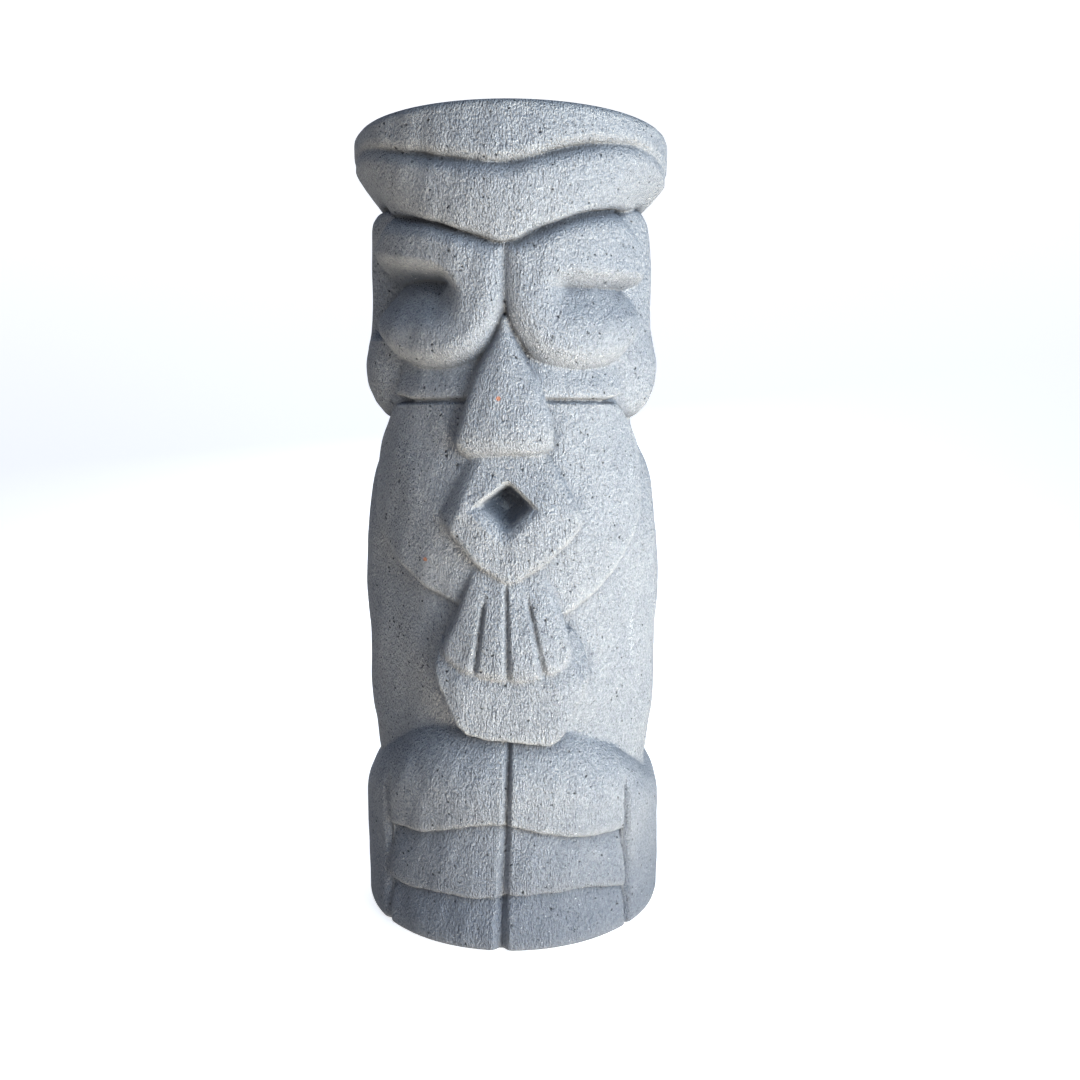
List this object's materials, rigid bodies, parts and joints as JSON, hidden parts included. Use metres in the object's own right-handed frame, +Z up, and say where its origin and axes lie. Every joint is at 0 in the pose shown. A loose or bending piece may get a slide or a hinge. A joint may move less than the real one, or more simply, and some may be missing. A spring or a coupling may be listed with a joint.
{
  "type": "tiki figure",
  "caption": "Free-standing carved stone tiki figure: a cylindrical column with a heavy brow, slit eyes, long nose, open lozenge mouth, fan beard and panelled base.",
  "frame": {"origin": "centre of the round foot, on the ground", "axes": "+Z up along the column, the face looks along -Y, +X to the viewer's right"},
  "size_m": [0.24, 0.24, 0.6],
  "materials": {
    "lava_stone": "matte, fine-grained grey volcanic stone with open pores and tool marks"
  },
  "bodies": {
    "root": {"crown_band": "lava_stone", "brow_slab": "lava_stone", "head_core": "lava_stone", "eye_left": "lava_stone", "eye_right": "lava_stone", "ear_left": "lava_stone", "ear_right": "lava_stone", "cheek_strip_left": "lava_stone", "cheek_strip_right": "lava_stone", "nose": "lava_stone", "face_plate": "lava_stone", "mouth": "lava_stone", "beard": "lava_stone", "torso": "lava_stone", "belly": "lava_stone", "base_drum": "lava_stone", "upper_panel_left": "lava_stone", "upper_panel_right": "lava_stone", "middle_panel_left": "lava_stone", "middle_panel_right": "lava_stone", "lower_panel_left": "lava_stone", "lower_panel_right": "lava_stone"}
  },
  "joints": []
}
